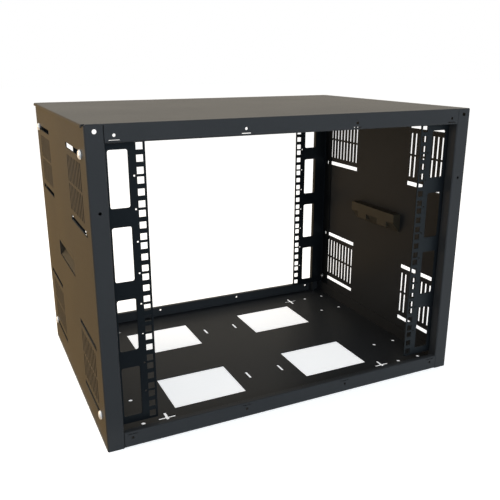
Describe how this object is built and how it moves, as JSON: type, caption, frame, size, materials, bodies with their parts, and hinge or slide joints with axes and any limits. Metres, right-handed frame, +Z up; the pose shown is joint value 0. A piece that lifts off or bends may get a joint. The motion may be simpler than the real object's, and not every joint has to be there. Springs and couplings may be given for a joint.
{
  "type": "rack cabinet",
  "caption": "Open low rack cabinet of bent black sheet steel with vented sides, recessed handles, a cut-out floor and sliding rails for 19-inch equipment.",
  "frame": {"origin": "on the floor under the middle of the cabinet", "axes": "+Z up, front open face looks along -Y, +X to the right as seen from the front"},
  "size_m": [0.6174, 0.4382, 0.454],
  "materials": {
    "panel_coat": "satin fine-textured black powder coat",
    "rail_coat": "satin black powder coat",
    "handle_moulding": "matt black moulded plastic",
    "bright_screw": "bright zinc plate",
    "nut_steel": "blackened steel"
  },
  "bodies": {
    "cabinet": {"top_panel": "panel_coat", "bottom_panel": "panel_coat", "left_side_panel": "panel_coat", "right_side_panel": "panel_coat", "left_handle": "handle_moulding", "right_handle": "handle_moulding"},
    "front_left_rail_set": {"front_left_rail": "rail_coat", "front_left_rail_upper_screw": "bright_screw", "front_left_rail_upper_nut": "nut_steel", "front_left_rail_lower_screw": "bright_screw", "front_left_rail_lower_nut": "nut_steel"},
    "front_right_rail_set": {"front_right_rail": "rail_coat", "front_right_rail_upper_screw": "bright_screw", "front_right_rail_upper_nut": "nut_steel", "front_right_rail_lower_screw": "bright_screw", "front_right_rail_lower_nut": "nut_steel"},
    "rear_left_rail_set": {"rear_left_rail": "rail_coat", "rear_left_rail_upper_screw": "bright_screw", "rear_left_rail_upper_nut": "nut_steel", "rear_left_rail_lower_screw": "bright_screw", "rear_left_rail_lower_nut": "nut_steel"},
    "rear_right_rail_set": {"rear_right_rail": "rail_coat", "rear_right_rail_upper_screw": "bright_screw", "rear_right_rail_upper_nut": "nut_steel", "rear_right_rail_lower_screw": "bright_screw", "rear_right_rail_lower_nut": "nut_steel"}
  },
  "joints": [
    {"name": "front_left_rail_slide", "type": "slide", "parent": "cabinet", "child": "front_left_rail_set", "axis": [0, 1, 0], "range_m": [0, 0.104]},
    {"name": "front_right_rail_slide", "type": "slide", "parent": "cabinet", "child": "front_right_rail_set", "axis": [0, 1, 0], "range_m": [0, 0.104]},
    {"name": "rear_left_rail_slide", "type": "slide", "parent": "cabinet", "child": "rear_left_rail_set", "axis": [0, -1, 0], "range_m": [0, 0.104]},
    {"name": "rear_right_rail_slide", "type": "slide", "parent": "cabinet", "child": "rear_right_rail_set", "axis": [0, -1, 0], "range_m": [0, 0.104]}
  ]
}
